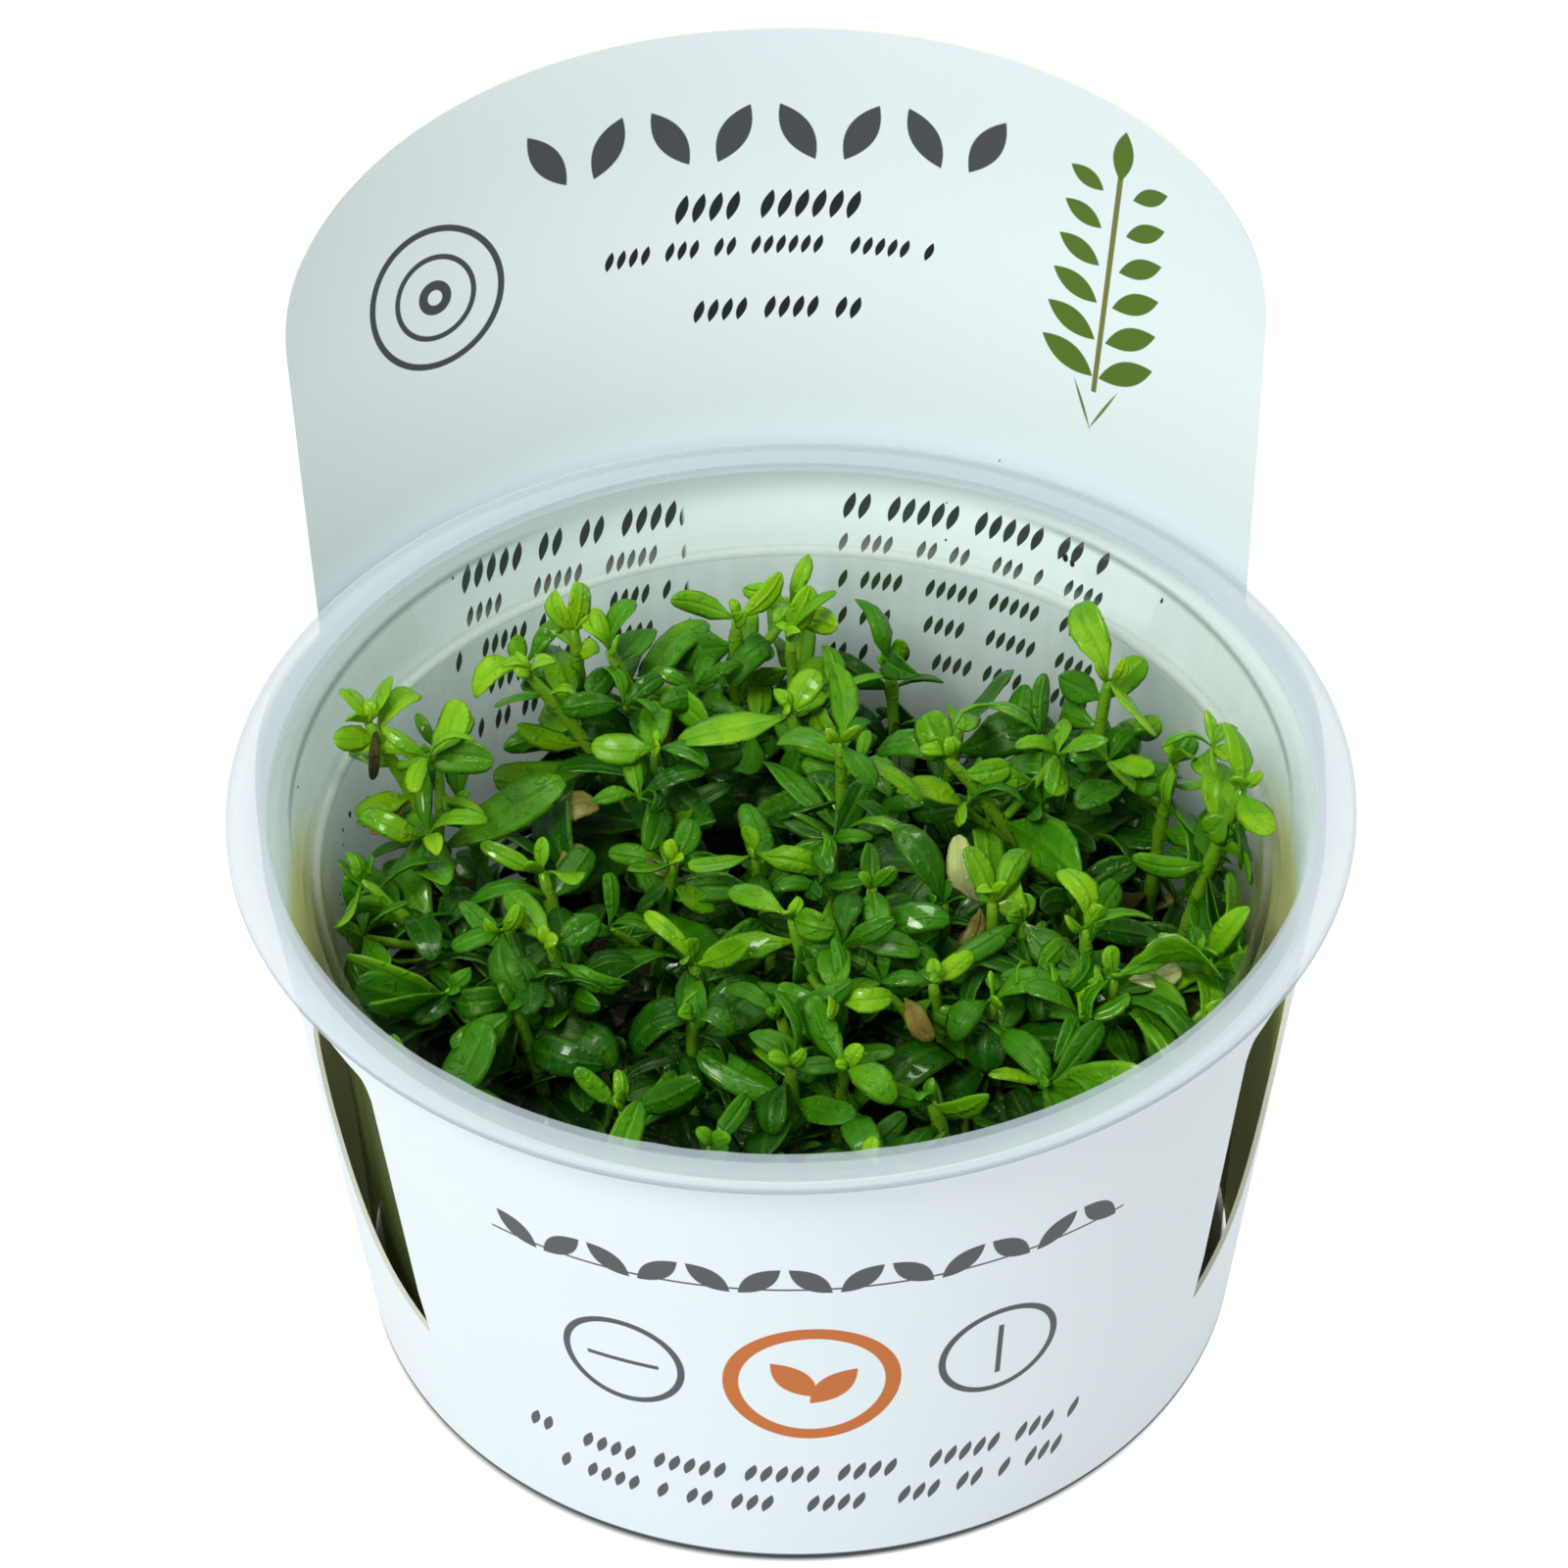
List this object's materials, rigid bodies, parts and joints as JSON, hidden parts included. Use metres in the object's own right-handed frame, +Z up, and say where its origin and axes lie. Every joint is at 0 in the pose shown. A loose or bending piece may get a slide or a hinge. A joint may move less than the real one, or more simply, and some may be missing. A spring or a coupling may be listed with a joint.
{
  "type": "potted rotala plant",
  "caption": "Young rotala stems growing from nutrient gel in a clear flanged cup, held in a flared card sleeve with side windows and a tall rounded tab at the back",
  "frame": {"origin": "centre of the cup's flat base, on the surface the cup stands on", "axes": "+Z up along the cup's axis, -Y towards the sleeve's low front, +Y towards the tall tab, +X to the right seen from the front"},
  "size_m": [0.1, 0.1084, 0.0986],
  "materials": {
    "cup_plastic": "clear moulded plastic with a slight haze",
    "gel": "soft translucent nutrient gel, wet surface",
    "card": "coated white card, satin",
    "young_green": "fresh leaves and stems, waxy"
  },
  "bodies": {
    "root": {"cup": "cup_plastic", "nutrient_gel": "gel", "card_sleeve": "card", "shoot_01": "young_green", "shoot_02": "young_green", "shoot_03": "young_green", "shoot_04": "young_green", "shoot_05": "young_green", "shoot_06": "young_green", "shoot_07": "young_green", "shoot_08": "young_green", "shoot_09": "young_green", "shoot_10": "young_green", "shoot_11": "young_green", "shoot_12": "young_green", "shoot_13": "young_green", "shoot_14": "young_green", "shoot_15": "young_green", "shoot_16": "young_green", "shoot_17": "young_green", "shoot_18": "young_green", "shoot_19": "young_green", "shoot_20": "young_green", "shoot_21": "young_green", "shoot_22": "young_green", "shoot_23": "young_green", "shoot_24": "young_green", "shoot_25": "young_green", "shoot_26": "young_green", "shoot_27": "young_green", "shoot_28": "young_green", "shoot_29": "young_green", "shoot_30": "young_green", "shoot_31": "young_green", "shoot_32": "young_green", "shoot_33": "young_green", "shoot_34": "young_green", "shoot_35": "young_green", "shoot_36": "young_green", "shoot_37": "young_green", "shoot_38": "young_green", "shoot_39": "young_green", "shoot_40": "young_green", "shoot_41": "young_green", "shoot_42": "young_green", "shoot_43": "young_green", "shoot_44": "young_green", "shoot_45": "young_green", "shoot_46": "young_green", "shoot_47": "young_green", "shoot_48": "young_green", "shoot_49": "young_green", "shoot_50": "young_green", "shoot_51": "young_green", "shoot_52": "young_green", "shoot_53": "young_green", "shoot_54": "young_green", "shoot_55": "young_green", "shoot_56": "young_green", "shoot_57": "young_green"}
  },
  "joints": []
}
